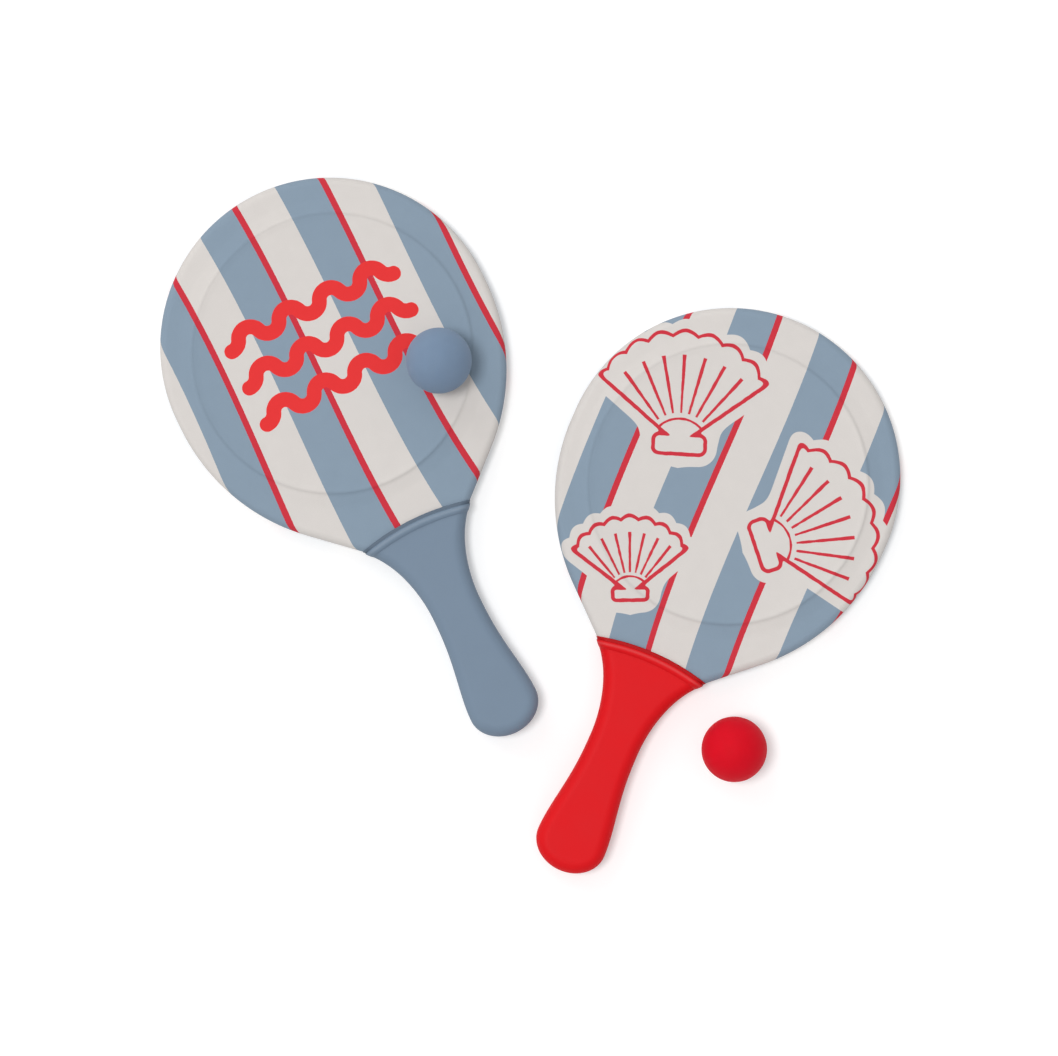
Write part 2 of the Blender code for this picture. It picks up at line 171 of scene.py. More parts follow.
class PrintSettings(bpy.types.PropertyGroup):
    """Colours and sizes of the printed stripe, waves and shells."""

    period: in_metres("Stripe period", "Distance between two red lines", 0.0584)
    line_width: in_metres("Red line", "Width of the red line", 0.0040)
    blue_width: in_metres("Blue stripe", "Width of the blue stripe beside the red line", 0.0272)
    blue: as_colour("Blue", "Colour of the blue stripe", (0.250, 0.328, 0.413))
    ecru: as_colour("Ecru", "Colour of the unprinted cloth", (0.694, 0.658, 0.630))
    line_red: as_colour("Line red", "Colour of the red line", (0.610, 0.032, 0.052))
    motif_red: as_colour("Motif red", "Colour of the printed waves", (0.800, 0.035, 0.036))
    wave_length: in_metres("Wave length", "Length of one printed wave", 0.0300)
    wave_crests: IntProperty(
        name="Wave crests", description="Crests in one row of waves", default=4, min=1)
    wave_height: in_metres("Wave height", "Height of a printed wave over its middle line", 0.0052)
    wave_band: in_metres("Wave band", "Width of a printed wave", 0.0100)
    wave_rows: in_metres("Wave rows", "Distance between two rows of waves", 0.0270)
    shell_stroke: in_metres("Shell stroke", "Width of a shell's outline", 0.0026)
    shell_halo: in_metres("Shell halo", "Width of the unprinted border around a shell", 0.0065)


class GripSettings(bpy.types.PropertyGroup):
    """Sizes and colours of the moulded handles."""

    blue: as_colour("Blue", "Colour of the blue handle", (0.188, 0.253, 0.335))
    red: as_colour("Red", "Colour of the red handle", (0.710, 0.005, 0.009))
    collar_arc: in_metres("Collar arc", "Radius of the collar's mouth", 0.157)
    collar_side: in_metres(
        "Collar side", "Clearance and wall of the collar at the head's sides", 0.0011)
    collar_half_height: in_metres(
        "Collar height", "Height of the collar over the mid-plane", 0.0088)
    mouth: in_metres("Mouth", "Distance from the packed collar's edge to the mouth", 0.0014)
    bead_width: in_metres("Bead width", "Width of the moulded bead behind the mouth", 0.0054)
    bead_height: in_metres("Bead height", "Height of the moulded bead", 0.0014)
    bead_set_back: in_metres(
        "Bead set back", "Distance from the packed collar's edge to the bead", 0.0037)
    groove: in_metres("Groove", "Depth of the groove between the mouth and the bead", 0.0005)
    waist_from_butt: in_metres("Waist", "Distance from the butt to the narrowest place", 0.0915)
    waist_half: in_metres("Waist half width", "Half the width at the narrowest place", 0.0172)
    butt_half: in_metres("Butt half width", "Half the width at the palm", 0.0240)
    butt_length: in_metres("Butt length", "Length of the rounded end", 0.0200)
    edge_radius: in_metres("Edge radius", "Rounding along the handle's sides", 0.0080)
    swell_end: in_metres("Swell end", "Distance from the butt to the thickest place", 0.0450)
    wall: in_metres("Wall", "Wall of the moulding", 0.0019)


class BallSettings(bpy.types.PropertyGroup):
    """Sizes and colours of the rubber balls."""

    blue: as_colour("Blue", "Colour of the blue ball", (0.197, 0.275, 0.387))
    red: as_colour("Red", "Colour of the red ball", (0.680, 0.002, 0.014))
    segments: IntProperty(
        name="Segments", description="Facets around a ball", default=128, min=16)
    flash: in_metres("Mould line", "Height of the mould line around the ball's middle", 0.00008)
    flash_width: in_metres("Mould line width", "Width of the mould line", 0.0006)


class StageSettings(bpy.types.PropertyGroup):
    """Floor, lights and camera."""

    view_width: in_metres("View width", "Width of the picture at the height of the faces", 0.7067)
    face_height: in_metres("Face height", "Height of the paddles' faces over the floor", 0.0170)
    camera_place: FloatVectorProperty(
        name="Camera", description="Place of the camera",
        default=(-0.0008, -0.0018, 3.2), subtype="TRANSLATION")
    sky: FloatProperty(
        name="Sky", description="Strength of the even light from all around", default=0.475)
    key: FloatProperty(
        name="Key", description="Strength of the soft lamp high on the upper left", default=1.463)
    rake: FloatProperty(
        name="Rake", description="Strength of the wide low lamp on the upper left", default=0.52)
    floor_glow: FloatProperty(
        name="Floor glow", description="What the floor adds to its own light in the picture",
        default=0.290)


def deselect():
    """Leave nothing selected."""
    bpy.ops.object.select_all(action="DESELECT")


def select_only(piece):
    """Select one piece and make it the active one."""
    deselect()
    piece.select_set(True)
    bpy.context.view_layer.objects.active = piece


@contextmanager
def edit_mode(action="SELECT"):
    """Work on the active piece in Edit Mode, with all of it selected or none of it."""
    bpy.ops.object.mode_set(mode="EDIT")
    bpy.ops.mesh.select_all(action=action)
    yield
    bpy.ops.object.mode_set(mode="OBJECT")


def smooth(value):
    """Ease from 0 to 1, level at both ends."""
    value = min(max(value, 0.0), 1.0)
    return value * value * (3 - 2 * value)


def place_key(place):
    """A place to the nearest thousandth of a millimetre."""
    return tuple(round(axis / MILLIMETRE, 3) for axis in place)


def move_ring(piece, before, after):
    """Move the selected ring, which still lies on the ring before it, to its own places."""
    bm = bmesh.from_edit_mesh(piece.data)
    targets = {place_key(old): new for old, new in zip(before, after)}
    for vertex in [vertex for vertex in bm.verts if vertex.select]:
        vertex.co = targets[place_key(vertex.co)]
    bmesh.update_edit_mesh(piece.data)


def surface_through(name, rings):
    """Lay a circle on the first ring, extrude it on to each next ring and close the last."""
    deselect()
    bpy.ops.mesh.primitive_circle_add(vertices=len(rings[0]))
    piece = bpy.context.object
    piece.name = name
    for vertex, place in zip(piece.data.vertices, rings[0]):
        vertex.co = place
    with edit_mode():
        for before, after in zip(rings, rings[1:]):
            bpy.ops.mesh.extrude_edges_move()
            move_ring(piece, before, after)
        bpy.ops.mesh.merge(type="CENTER")
    return piece


def surface_over(name, rows):
    """Lay a grid over rows of equally many places."""
    deselect()
    bpy.ops.mesh.primitive_grid_add(x_subdivisions=len(rows[0]) - 1, y_subdivisions=len(rows) - 1)
    piece = bpy.context.object
    piece.name = name
    places = [place for row in rows for place in row]
    if len(places) != len(piece.data.vertices):
        raise RuntimeError(f"{name}: the grid has {len(piece.data.vertices)} corners")
    for vertex, place in zip(piece.data.vertices, places):
        vertex.co = place
    return piece


def face_outwards(piece):
    """Merge doubled corners and turn the faces outwards: the highest face looks up."""
    select_only(piece)
    with edit_mode():
        bpy.ops.mesh.remove_doubles(threshold=NEAR)
        bpy.ops.mesh.normals_make_consistent(inside=False)
    highest = max(piece.data.polygons, key=lambda face: face.center.z)
    if highest.normal.z < 0:
        with edit_mode():
            bpy.ops.mesh.flip_normals()


def give_wall(piece, thickness, inner_slot):
    """Thicken a sheet inwards; its inner side and its edge take another material slot."""
    select_only(piece)
    wall = piece.modifiers.new("wall", "SOLIDIFY")
    wall.thickness = thickness
    wall.offset = -1.0
    wall.use_even_offset = True
    wall.material_offset = inner_slot
    wall.material_offset_rim = inner_slot
    bpy.ops.object.modifier_apply(modifier=wall.name)


def close_base(piece):
    """Close a piece's open bottom edge with one face."""
    select_only(piece)
    with edit_mode("DESELECT"):
        bpy.ops.mesh.select_mode(type="EDGE")
        bpy.ops.mesh.select_non_manifold()
        bpy.ops.mesh.edge_face_add()
        bpy.ops.mesh.select_mode(type="VERT")


def finish_shape(piece, place, angle):
    """Smooth a piece, put it in its place and apply that place to its mesh."""
    select_only(piece)
    bpy.ops.object.shade_smooth_by_angle(angle=math.radians(angle))
    piece.matrix_world = place
    bpy.ops.object.transform_apply(location=True, rotation=True, scale=True)


def place_on_side(colour, side):
    """A paddle's frame, turned over about the handle's axis for the rear side."""
    over = Matrix.Rotation(math.pi if side == "rear" else 0.0, 4, "Y")
    return FRAMES[colour] @ over


def hand_over(piece, node, body):
    """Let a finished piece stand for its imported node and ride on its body."""
    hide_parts(node)
    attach(piece, body)


def arc_points(start, heading, radius, turn, count):
    """Places and headings along an arc that bends to the right, after its start."""
    points = []
    here = start.copy()
    chord = 2 * radius * math.sin(turn / count / 2)
    for _ in range(count):
        heading -= turn / count / 2
        here = here + Vector((math.cos(heading), math.sin(heading))) * chord
        heading -= turn / count / 2
        points.append((here.copy(), heading))
    return points


def bow(across, radius):
    """How far the collar's arc falls back at a distance from the axis."""
    return radius - math.sqrt(radius ** 2 - across ** 2)


SETTLING_ROUNDS = 40


def run_meets_arc(head, arc, depth, outset):
    """Half the width where the shoulder's run, set out by an amount, meets the collar's arc."""
    end_x = HEAD_RADIUS - head.shoulder_radius * (1 - math.cos(head.shoulder_turn))
    end_y = -head.flank - head.shoulder_radius * math.sin(head.shoulder_turn)
    half_width = GRIP_HALF_HEIGHT
    for _ in range(SETTLING_ROUNDS):
        mouth_y = COLLAR_Y - depth - bow(half_width, arc)
        head_half = end_x - (end_y - mouth_y) * math.tan(head.shoulder_turn)
        half_width = (half_width + head_half + outset) / 2
    return half_width


HEAD_ARC_STEPS = 54
SHOULDER_STEPS = 28
RUN_STEPS = 6
TRIM_STEPS = 12


def head_side(head, arc):
    """The right side of the cover's outline down to the collar: places and outward normals."""
    points = [(Vector((0.0, HEAD_RADIUS)), 0.0)]
    points += arc_points(points[0][0], 0.0, HEAD_RADIUS, math.pi / 2, HEAD_ARC_STEPS)
    flank_end = points[-1][0] - Vector((0.0, head.flank))
    points.append((flank_end, -math.pi / 2))
    points += arc_points(
        flank_end, -math.pi / 2, head.shoulder_radius, head.shoulder_turn, SHOULDER_STEPS)
    start, heading = points[-1]
    way = Vector((math.cos(heading), math.sin(heading)))
    run = (start.x - run_meets_arc(head, arc, head.pocket, 0.0)) / -way.x
    points += [(start + way * run * step / RUN_STEPS, heading) for step in range(1, RUN_STEPS + 1)]
    return [(place, Vector((-math.sin(turn), math.cos(turn)))) for place, turn in points]


def cover_outline(head, arc):
    """The cover's outline as places and outward normals, clockwise from the top of the head."""
    right = head_side(head, arc)
    corner, run_normal = right.pop()
    for step in range(TRIM_STEPS + 1):
        across = corner.x * (1 - step / TRIM_STEPS)
        fall = bow(across, arc)
        normal = Vector((-across, fall - arc)).normalized()
        if step == 0:
            normal = (run_normal + normal) / (1 + run_normal.dot(normal))
        right.append((Vector((across, COLLAR_Y - head.pocket - fall)), normal))
    left = [
        (Vector((-place.x, place.y)), Vector((-normal.x, normal.y)))
        for place, normal in reversed(right[1:-1])
    ]
    return right + left


RIM_STEPS = 10
SEAM_STEPS = 3


def quarter_turn(count):
    """The angles of a quarter turn in even steps, with both ends."""
    return [math.pi / 2 * step / count for step in range(count + 1)]


def parting_round(inset, height, radius, count):
    """Insets and heights of a rounding from a parting plane out to an upright side."""
    return [(inset + radius * (1 - math.sin(angle)), height + radius * (1 - math.cos(angle)))
            for angle in quarter_turn(count)]


def edge_round(inset, height, radius, count):
    """Insets and heights of a rounding from an upright side up to a level top."""
    return [(inset + radius * (1 - math.cos(angle)), height + radius * math.sin(angle))
            for angle in quarter_turn(count)]


def rim_profile(head):
    """Insets and heights from the seam at the mid-plane up to the flat ring."""
    seam = parting_round(0.0, HALF_GAP, head.seam_radius, SEAM_STEPS)
    return seam + edge_round(0.0, head.rim_flat, head.ring_half - head.rim_flat, RIM_STEPS)


# The pressed step around the raised disc: distance outwards as a share of the skive, and the
# share of the step's height that is lost there
STEP_PROFILE = ((1.0, 1.0), (0.90, 0.968), (0.78, 0.905), (0.64, 0.80), (0.50, 0.68),
                (0.364, 0.565), (0.28, 0.495), (0.21, 0.425), (0.145, 0.335), (0.10, 0.24),
                (0.055, 0.12), (0.02, 0.03), (0.0, 0.0))
# The pressed crest: distance inwards from the disc's edge, and what is lost of its height
CREST_PROFILE = ((0.0006, 0.0), (0.0012, 0.05), (0.0022, 0.40), (0.0034, 0.80), (0.0052, 1.0))
# The rings of the flat disc inside its crest, as shares of the disc's radius
DISC_SHARES = (0.80, 0.60, 0.40, 0.20)


def disc_ring(outline, radius, height):
    """A circle about the disc's centre with a place towards each place of the outline."""
    centre = Vector((0.0, -DISC_OFFSET))
    circle = []
    for place, _ in outline:
        spot = centre + (place - centre).normalized() * radius
        circle.append(Vector((spot.x, spot.y, height)))
    return circle


def cover_rings(head, outline):
    """The rings of a cover, from the seam over the rim and the step to the raised disc."""
    rings = [
        [Vector((place.x - normal.x * inset, place.y - normal.y * inset, height))
         for place, normal in outline]
        for inset, height in rim_profile(head)
    ]
    step_height = FACE_HALF - head.ring_half
    profile = [(head.disc_radius + head.skive * share, step_height * lost)
               for share, lost in STEP_PROFILE]
    profile += [(head.disc_radius - inset, head.crest * lost) for inset, lost in CREST_PROFILE]
    profile += [(head.disc_radius * share, head.crest) for share in DISC_SHARES]
    return rings + [disc_ring(outline, radius, FACE_HALF - lost) for radius, lost in profile]


# The UV map that holds, in metres, where each place of a cover lay in the flat printed cloth
CUT_MAP = "cut"


def cover_cut(head, outline, rings):
    """The flat places of a cover's rings: the rim unrolled outwards, the rest as seen from above."""
    profile = rim_profile(head)
    insets = [profile[-1][0]]
    for here, there in zip(reversed(profile[:-1]), reversed(profile[1:])):
        insets.append(insets[-1] - math.dist(here, there))
    insets.reverse()
    flats = [[place - normal * inset for place, normal in outline] for inset in insets]
    return flats + [[place.xy for place in ring] for ring in rings[len(flats):]]


def remember_cut(piece, rings, flats):
    """Write the flat places of a piece's corners into its UV map."""
    flat_places = {
        place_key(place): flat
        for ring, flat_ring in zip(rings, flats) for place, flat in zip(ring, flat_ring)
    }
    for layer in list(piece.data.uv_layers):
        piece.data.uv_layers.remove(layer)
    layer = piece.data.uv_layers.new(name=CUT_MAP)
    for loop in piece.data.loops:
        place = piece.data.vertices[loop.vertex_index].co
        layer.data[loop.index].uv = flat_places.get(place_key(place), place.xy)


PAD_SEGMENTS = 160
PAD_EDGE = 0.0006


def pad_rings(head):
    """The rings of a foam pad, from its bottom edge up its skive to the top."""
    top = FACE_HALF - head.crest - head.cover - head.fit
    bottom = head.ring_half - head.cover
    step_height = FACE_HALF - head.ring_half
    slope = [(share, top - step_height * lost) for share, lost in STEP_PROFILE]
    slope = [(share, height) for share, height in slope if height > bottom + PAD_EDGE]
    profile = [(slope[0][0], bottom), (slope[0][0], bottom + PAD_EDGE)] + slope[1:]
    profile = [(head.disc_radius + head.skive * share, height) for share, height in profile]
    profile += [(head.disc_radius * share, top) for share in DISC_SHARES]
    return [pad_circle(radius, height) for radius, height in profile]


def pad_circle(radius, height):
    """A circle about the disc's centre."""
    angles = [2 * math.pi * step / PAD_SEGMENTS for step in range(PAD_SEGMENTS)]
    return [
        Vector((radius * math.cos(angle), radius * math.sin(angle) - DISC_OFFSET, height))
        for angle in angles
    ]


# How late the handle widens from its waist up to the collar, and down to the palm
FLARE_POWER = 2.1
BELLY_POWER = 1.3


def grip_half_width(along, grip, collar_half, mouth_y):
    """Half the handle's width at a place on the axis: flare, waist and belly."""
    waist_y = BUTT_Y + grip.waist_from_butt
    if along >= waist_y:
        rise = min((along - waist_y) / (mouth_y - waist_y), 1.0)
        return grip.waist_half + (collar_half - grip.waist_half) * rise ** FLARE_POWER
    fall = min((waist_y - along) / (grip.waist_from_butt - grip.butt_length), 1.0)
    return grip.waist_half + (grip.butt_half - grip.waist_half) * smooth(fall ** BELLY_POWER)


# The rows keep the mouth's whole bow over this depth, and lose it by the waist
BOW_KEPT = 0.008
# The side's slope is measured over this step to either side
SLOPE_STEP = 0.0002
# Behind the bead, the way inwards turns from the mouth's to the side's own over this depth
MOUTH_BLEND = 0.020


class Station:
    """One row of a handle: where its side lies, which way is inwards, and how its top bows."""

    def __init__(self, depth, grip, collar_half):
        self.arc = grip.collar_arc
        self.along = COLLAR_Y - depth
        waist_depth = COLLAR_Y - BUTT_Y - grip.waist_from_butt
        self.fade = 1 - smooth((depth - BOW_KEPT) / (waist_depth - BOW_KEPT))
        past = depth - (COLLAR_Y - BUTT_Y - grip.butt_length)
        if past > 0:
            angle = math.asin(min(past / grip.butt_length, 1.0))
            self.side = Vector((grip.butt_half * math.cos(angle), self.along))
            self.inwards = Vector((-math.cos(angle) / grip.butt_half,
                                   math.sin(angle) / grip.butt_length)).normalized()
            self.blend = 1.0
            return
        mouth_y = COLLAR_Y - bow(collar_half, self.arc)
        side_y = self.along - bow(collar_half, self.arc) * self.fade
        width, wider, narrower = (
            grip_half_width(side_y + step, grip, collar_half, mouth_y)
            for step in (0.0, SLOPE_STEP, -SLOPE_STEP)
        )
        self.side = Vector((width, self.row_y(width)))
        true_way = Vector((-1.0, (wider - narrower) / (2 * SLOPE_STEP))).normalized()
        mouth_way = Vector((-1.0, width / self.arc)).normalized()
        bead_end = grip.bead_set_back + grip.bead_width
        self.blend = smooth((depth - bead_end) / MOUTH_BLEND)
        self.inwards = mouth_way.lerp(true_way, self.blend).normalized()

    def row_y(self, across):
        """Where the row lies at a distance from the axis, where nothing but the bow moves it."""
        return self.along - bow(across, self.arc) * self.fade

    def edge_place(self, inset, height):
        """A place in from the side."""
        across = self.side.x + self.inwards.x * inset
        straight = self.side.y + self.inwards.y * inset
        along = straight * self.blend + self.row_y(across) * (1 - self.blend)
        return Vector((across, along, height))

    def top_places(self, last, count):
        """Places on the flat top, from a last edge place to the axis."""
        shift = last.y - self.row_y(last.x)
        places = []
        for step in range(1, count + 1):
            across = last.x * (1 - step / count)
            places.append(Vector((across, self.row_y(across) + shift, last.z)))
        return places


EDGE_STEPS = 10
TOP_STEPS = 10
PARTING_STEPS = 2
PARTING_EDGE = 0.0003
# What the halves, pressed together, leave open on either side of the mid-plane
PARTING_GAP = 0.00002
# How roundly the bead rises at its front and falls at its back, and the share of it at the sides
BEAD_FRONT_POWER = 0.5
BEAD_BACK_POWER = 1.0
BEAD_SIDE_SHARE = 1 / 3


def grip_row(depth, drop, head, grip, collar_half):
    """One row of places over the front half of a handle, from its right base to its left."""
    station = Station(depth, grip, collar_half)
    from_crest = 2 * (depth - grip.bead_set_back) / grip.bead_width - 1
    power = BEAD_FRONT_POWER if from_crest < 0 else BEAD_BACK_POWER
    rise = grip.bead_height * max(1 - from_crest ** 2, 0.0) ** power
    swell = smooth(depth / (COLLAR_Y - BUTT_Y - grip.swell_end))
    height = grip.collar_half_height + (GRIP_HALF_HEIGHT - grip.collar_half_height) * swell
    radius = min(grip.edge_radius, height - head.rim_flat) - drop
    height += rise - drop
    start = drop - rise * BEAD_SIDE_SHARE
    profile = parting_round(start, PARTING_GAP, PARTING_EDGE, PARTING_STEPS)
    profile += edge_round(start, height - radius, radius, EDGE_STEPS)
    right = [station.edge_place(inset, z) for inset, z in profile]
    right += station.top_places(right[-1], TOP_STEPS)
    left = [Vector((-place.x, place.y, place.z)) for place in reversed(right[:-1])]
    return right + left


LIP_RADIUS = 0.0005
LIP_STEPS = 4
GROOVE_WALL = 0.0001
BEAD_STEPS = 14
BODY_STEPS = 70
BUTT_STEPS = 30


def grip_rows(head, grip):
    """The rows of the front half of a handle, from inside the mouth to the butt."""
    collar_half = run_meets_arc(head, grip.collar_arc, 0.0, grip.collar_side)
    stations = [(grip.mouth, grip.wall)]
    for angle in quarter_turn(LIP_STEPS):
        stations.append((grip.mouth + LIP_RADIUS * (1 - math.cos(angle)),
                         LIP_RADIUS * (1 - math.sin(angle)) + grip.groove))
    stations.append((grip.bead_set_back - GROOVE_WALL, grip.groove))
    bead_end = grip.bead_set_back + grip.bead_width
    for step in range(BEAD_STEPS + 1):
        past = (1 - math.cos(math.pi * step / BEAD_STEPS)) / 2
        stations.append((grip.bead_set_back + grip.bead_width * past, 0.0))
    body_end = COLLAR_Y - BUTT_Y - grip.butt_length
    stations += [(bead_end + (body_end - bead_end) * step / BODY_STEPS, 0.0)
                 for step in range(1, BODY_STEPS)]
    stations += [(body_end + grip.butt_length * math.sin(angle), 0.0)
                 for angle in quarter_turn(BUTT_STEPS)]
    return [grip_row(depth, drop, head, grip, collar_half) for depth, drop in stations]


class Signal:
    """A number that nodes work out at each place of a surface."""

    def __init__(self, nodes, socket):
        self.nodes = nodes
        self.socket = socket

    def __add__(self, other):
        return self.nodes.math("ADD", self, other)

    def __sub__(self, other):
        return self.nodes.math("SUBTRACT", self, other)

    def __rsub__(self, other):
        return self.nodes.math("SUBTRACT", other, self)

    def __mul__(self, other):
        return self.nodes.math("MULTIPLY", self, other)

    def __truediv__(self, other):
        return self.nodes.math("DIVIDE", self, other)

    def __abs__(self):
        return self.nodes.math("ABSOLUTE", self)

    def at_least(self, other):
        """The greater of two numbers."""
        return self.nodes.math("MAXIMUM", self, other)

    def at_most(self, other):
        """The lesser of two numbers."""
        return self.nodes.math("MINIMUM", self, other)


class Nodes:
    """A tree of nodes, with short ways to add and wire them."""

    def __init__(self, tree):
        self.tree = tree

    def wire(self, socket, value):
        """Link a source to a socket, or set the socket to a plain value."""
        if isinstance(value, Signal):
            value = value.socket
        if isinstance(value, bpy.types.NodeSocket):
            self.tree.links.new(value, socket)
        elif socket.type == "RGBA":
            socket.default_value = (*value, 1.0)
        else:
            socket.default_value = value

    def fill(self, node, values):
        """Give a node's sockets, by their names, sources or plain values."""
        for name, value in values.items():
            self.wire(node.inputs[name], value)

    def node(self, kind, values=None):
        """A new node of a kind, with sources or plain values for its sockets."""
        node = self.tree.nodes.new("ShaderNode" + kind)
        self.fill(node, values or {})
        return node

    def math(self, operation, *values, clamp=False):
        """A number worked out from others."""
        node = self.node("Math")
        node.operation = operation
        node.use_clamp = clamp
        for socket, value in zip(node.inputs, values):
            self.wire(socket, value)
        return Signal(self, node.outputs[0])

    def seen_directly(self):
        """1 where the camera, a mirror or glass looks straight at something."""
        path = self.node("LightPath")
        camera, mirror, glass = (
            Signal(self, path.outputs[name])
            for name in ("Is Camera Ray", "Is Glossy Ray", "Is Transmission Ray")
        )
        return camera.at_least(mirror).at_least(glass)


class Layer(NamedTuple):
    """A layer of noise: spacing in metres, detail, and shares in the colour, height and roughness."""

    spacing: float
    detail: float = 2.0
    tone: float = 0.0
    lift: float = 0.0
    rough: float = 0.0


class Bench(Nodes):
    """The nodes of one material, and the coordinates that they read."""

    def __init__(self, name, roughness, specular):
        self.material = bpy.data.materials.new(name)
        self.material.use_nodes = True
        super().__init__(self.material.node_tree)
        self.shader = self.tree.nodes["Principled BSDF"]
        self.roughness = roughness
        self.fill(self.shader, {"Roughness": roughness, "Specular IOR Level": specular})
        self.coordinates = self.node("TexCoord").outputs["Object"]

    def hypot(self, side, other):
        """The diagonal over two lengths."""
        return self.math("SQRT", side * side + other * other)

    def falloff(self, distance, width, peak=1.0):
        """A number that falls evenly from its peak to nothing over a width, starting at 0."""
        return self.math("MULTIPLY_ADD", distance, -peak / width, peak, clamp=True)

    def places(self):
        """The coordinates that are read now, as three numbers."""
        node = self.node("SeparateXYZ", {"Vector": self.coordinates})
        return [Signal(self, output) for output in node.outputs]

    def centre_on(self, place):
        """Read places in the frame of a paddle, and return them as three numbers."""
        mapping = self.node("Mapping", {"Location": place.to_translation(),
                                        "Rotation": place.to_euler(), "Vector": self.coordinates})
        mapping.vector_type = "TEXTURE"
        self.coordinates = mapping.outputs["Vector"]
        return self.places()

    def follow_cut(self):
        """Read places in the flat printed cloth, and return them as two numbers."""
        flat = self.node("UVMap")
        flat.uv_map = CUT_MAP
        self.coordinates = flat.outputs["UV"]
        return self.places()[:2]

    def noise(self, spacing, detail=2.0):
        """Soft unevenness of a spacing in metres, from about -0.5 to 0.5."""
        node = self.node("TexNoise", {"Scale": 1 / spacing, "Detail": detail,
                                      "Vector": self.coordinates})
        return Signal(self, node.outputs["Fac"]) - 0.5

    def layered(self, layers):
        """What layers of noise add to the colour and to the height; their roughness is wired."""
        sums = dict.fromkeys(("tone", "lift", "rough"), 0.0)
        for layer in layers:
            noise = self.noise(layer.spacing, layer.detail)
            for name in sums:
                share = getattr(layer, name)
                if share:
                    sums[name] = noise * share + sums[name]
        self.fill(self.shader, {"Roughness": sums["rough"] + self.roughness})
        return sums["tone"], sums["lift"]

    def cells(self, spacing):
        """Distance from the middle of the nearest cell, for grains and pores."""
        node = self.node("TexVoronoi", {"Scale": 1 / spacing, "Vector": self.coordinates})
        return Signal(self, node.outputs["Distance"])

    def mix(self, factor, *colours):
        """Two colours, mixed by a factor."""
        node = self.node("Mix")
        node.data_type = "RGBA"
        self.wire(node.inputs["Factor"], factor)
        sockets = [socket for socket in node.inputs if socket.type == "RGBA"]
        for socket, colour in zip(sockets, colours):
            self.wire(socket, colour)
        return next(socket for socket in node.outputs if socket.type == "RGBA")

    def shaded(self, colour, amount):
        """A colour made lighter or darker by a number around 0."""
        node = self.node("HueSaturation", {"Color": colour, "Value": amount + 1.0})
        return node.outputs["Color"]

    def finish(self, colour, height, depth):
        """Give the shader its colour and a bump of a depth in metres."""
        bump = self.node("Bump", {"Distance": depth, "Height": height})
        self.fill(self.shader, {"Base Color": colour, "Normal": bump.outputs["Normal"]})
        return self.material


PRINT_EDGE = 0.00018


def inside(bench, distance):
    """1 where a signed distance is below zero and 0 beyond, over a narrow edge."""
    return bench.math("MULTIPLY_ADD", distance, -1 / PRINT_EDGE, 0.5, clamp=True)


# Where a red line's middle crosses the disc, and how the stretched print leans, spreads, arches,
# fans out and sways over the face
STRIPE_LAY = {
    ("blue", "front"): (-0.0135, 0.0060, -0.184, -0.0244, 4.685, -2.080),
    ("blue", "rear"): (0.0210, 0.0050, 0.100, -0.0200, 3.000, -1.900),
    ("red", "front"): (-0.0108, 0.0018, 0.166, 0.0532, -2.237, -2.540),
    ("red", "rear"): (0.0150, -0.0040, -0.120, 0.0300, -2.000, -2.100),
}
# How far the dye strays at an edge of the print, and over what distance
STRAY = 0.0003
STRIPE_STRAY_SPACING = 0.0011
WAVE_STRAY_SPACING = 0.002


def striped(bench, settings, colour, side, across, along):
    """The stripe: a red line at the right of each blue band, ecru between them."""
    line_middle, lean, spread, arch, fan, sway = STRIPE_LAY[colour, side]
    curve = across * fan + along * sway + arch
    shift = (curve * along + across * spread + lean) * along
    stray = bench.noise(STRIPE_STRAY_SPACING) * STRAY
    start = settings.line_width / 2 - line_middle
    turns = (across - shift + stray + start) / settings.period
    ramp = bench.node("ValToRGB", {"Fac": bench.math("FRACT", turns)})
    ramp.color_ramp.interpolation = "CONSTANT"
    stops = (
        (0.0, settings.line_red),
        (settings.line_width / settings.period, settings.ecru),
        (1 - settings.blue_width / settings.period, settings.blue),
    )
    while len(ramp.color_ramp.elements) < len(stops):
        ramp.color_ramp.elements.new(0.5)
    for element, (position, tint) in zip(ramp.color_ramp.elements, stops):
        element.position = position
        element.color = (*tint, 1.0)
    return ramp.outputs["Color"]


# Rows of waves: place of the middle row along the head
WAVE_MIDDLE = 0.0035


def waves(bench, settings, across, along):
    """Signed distance to three rows of waves: arcs joined end to end, with round ends."""
    from_middle = along - WAVE_MIDDLE
    row = bench.math("ROUND", from_middle / settings.wave_rows).at_least(-1.0).at_most(1.0)
    up = from_middle - row * settings.wave_rows
    length = settings.wave_length
    reach = length * settings.wave_crests / 2
    held = across.at_least(-reach).at_most(reach)
    turns = held / length + 0.5 * (1 - settings.wave_crests % 2)
    from_crest = (turns - bench.math("ROUND", turns)) * length
    from_trough = (bench.math("FRACT", turns) - 0.5) * length
    quarter = length / 4
    radius = (quarter ** 2 + settings.wave_height ** 2) / (2 * settings.wave_height)
    centre = radius - settings.wave_height
    off_crest, off_trough = (
        abs(bench.hypot(from_top, up * side + centre) - radius)
        for from_top, side in ((from_crest, 1.0), (from_trough, -1.0))
    )
    on_crest = bench.math("LESS_THAN", abs(from_crest), up * (quarter / centre) + quarter)
    near = off_trough + (off_crest - off_trough) * on_crest
    return bench.hypot(near, across - held) - settings.wave_band / 2


# Each shell: its hinge's place on the face, its height and how far it is turned
SHELLS = (
    (-0.040, 0.004, 0.078, math.radians(20)),
    (0.037, -0.034, 0.078, math.radians(-48)),
    (-0.030, -0.100, 0.054, math.radians(24)),
)
FAN_HALF_ANGLE = math.radians(52)
RIB_ANGLE = math.radians(13)
CORNER_SOFTNESS = 0.006
BORDER_SOFTNESS = 0.016
INK_WOBBLE = 0.0009
WOBBLE_SPACING = 0.006
